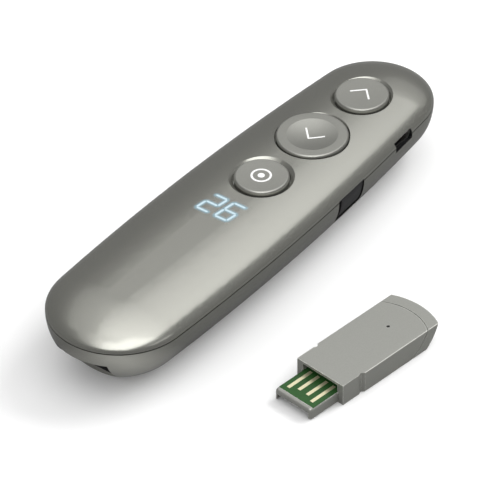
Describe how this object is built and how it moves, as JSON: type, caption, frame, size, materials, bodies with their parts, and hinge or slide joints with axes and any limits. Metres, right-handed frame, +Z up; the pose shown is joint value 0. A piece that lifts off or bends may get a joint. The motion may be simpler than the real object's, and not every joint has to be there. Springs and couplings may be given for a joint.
{
  "type": "wireless presentation clicker",
  "caption": "Rounded handheld presentation clicker with round push keys, lit figures, side slider, charging port and a docking bay, with its USB receiver stick beside it.",
  "frame": {"origin": "middle of the flat strip on the handset's underside, on the surface it rests on", "axes": "+X from the tail to the head, +Y to the left with the keys up, +Z up"},
  "size_m": [0.1366, 0.0781, 0.0199],
  "materials": {
    "casing_paint": "satin metallic grey paint",
    "key_paint": "satin metallic grey paint",
    "black_plastic": "matt black",
    "switch_plastic": "matt dark grey",
    "port_steel": "plated steel",
    "main_board_green": "green solder mask",
    "display_white": "matt white",
    "display_film": "milky film",
    "display_light": "clear resin",
    "battery_wrap": "silver foil pouch",
    "chip_black": "moulded black",
    "can_steel": "plated can",
    "antenna_ceramic": "pale ceramic",
    "barrel_brass": "turned brass",
    "window_clear": "clear",
    "receiver_plastic": "fine matt grey paint",
    "receiver_board_green": "green solder mask",
    "contact_gold": "pale gold plate",
    "light_pipe": "smoked clear plastic"
  },
  "bodies": {
    "handset": {"antenna": "antenna_ceramic", "battery": "battery_wrap", "bay_cover": "black_plastic", "board_screws": "port_steel", "bottom_shell": "casing_paint", "charge_port_shell": "port_steel", "charge_port_tongue": "black_plastic", "display_board": "main_board_green", "display_diffuser": "display_film", "display_lights": "display_light", "display_mask": "display_white", "main_board": "main_board_green", "pointer_barrel": "barrel_brass", "pointer_holder": "black_plastic", "pointer_window": "window_clear", "processor_chip": "chip_black", "radio_module": "can_steel", "switch_housing": "black_plastic", "tact_switches": "black_plastic", "top_shell": "casing_paint"},
    "previous_key": {"previous_button": "key_paint", "previous_plunger": "switch_plastic"},
    "next_key": {"next_button": "key_paint", "next_plunger": "switch_plastic"},
    "pointer_key": {"pointer_button": "key_paint", "pointer_plunger": "switch_plastic"},
    "power_knob": {"power_slider": "black_plastic", "switch_lever": "switch_plastic"},
    "receiver": {"receiver_board": "receiver_board_green", "receiver_cap": "receiver_plastic", "receiver_case": "receiver_plastic", "receiver_chip": "chip_black", "receiver_contacts": "contact_gold", "receiver_light": "light_pipe", "receiver_plug_frame": "receiver_plastic"}
  },
  "joints": [
    {"name": "previous_press", "type": "slide", "parent": "handset", "child": "previous_key", "axis": [0, 0, -1], "range_m": [0, 0.0005], "stiffness_N_per_m": 300, "springref_m": -0.0005},
    {"name": "next_press", "type": "slide", "parent": "handset", "child": "next_key", "axis": [0, 0, -1], "range_m": [0, 0.0005], "stiffness_N_per_m": 300, "springref_m": -0.0005},
    {"name": "pointer_press", "type": "slide", "parent": "handset", "child": "pointer_key", "axis": [0, 0, -1], "range_m": [0, 0.0005], "stiffness_N_per_m": 300, "springref_m": -0.0005},
    {"name": "power_slide", "type": "slide", "parent": "handset", "child": "power_knob", "axis": [-1, 0, 0], "range_m": [0, 0.0013]},
    {"name": "receiver_slide", "type": "slide", "parent": "handset", "child": "receiver", "axis": [-0.9923, 0.1236, 0], "range_m": [0, 0.012]}
  ]
}
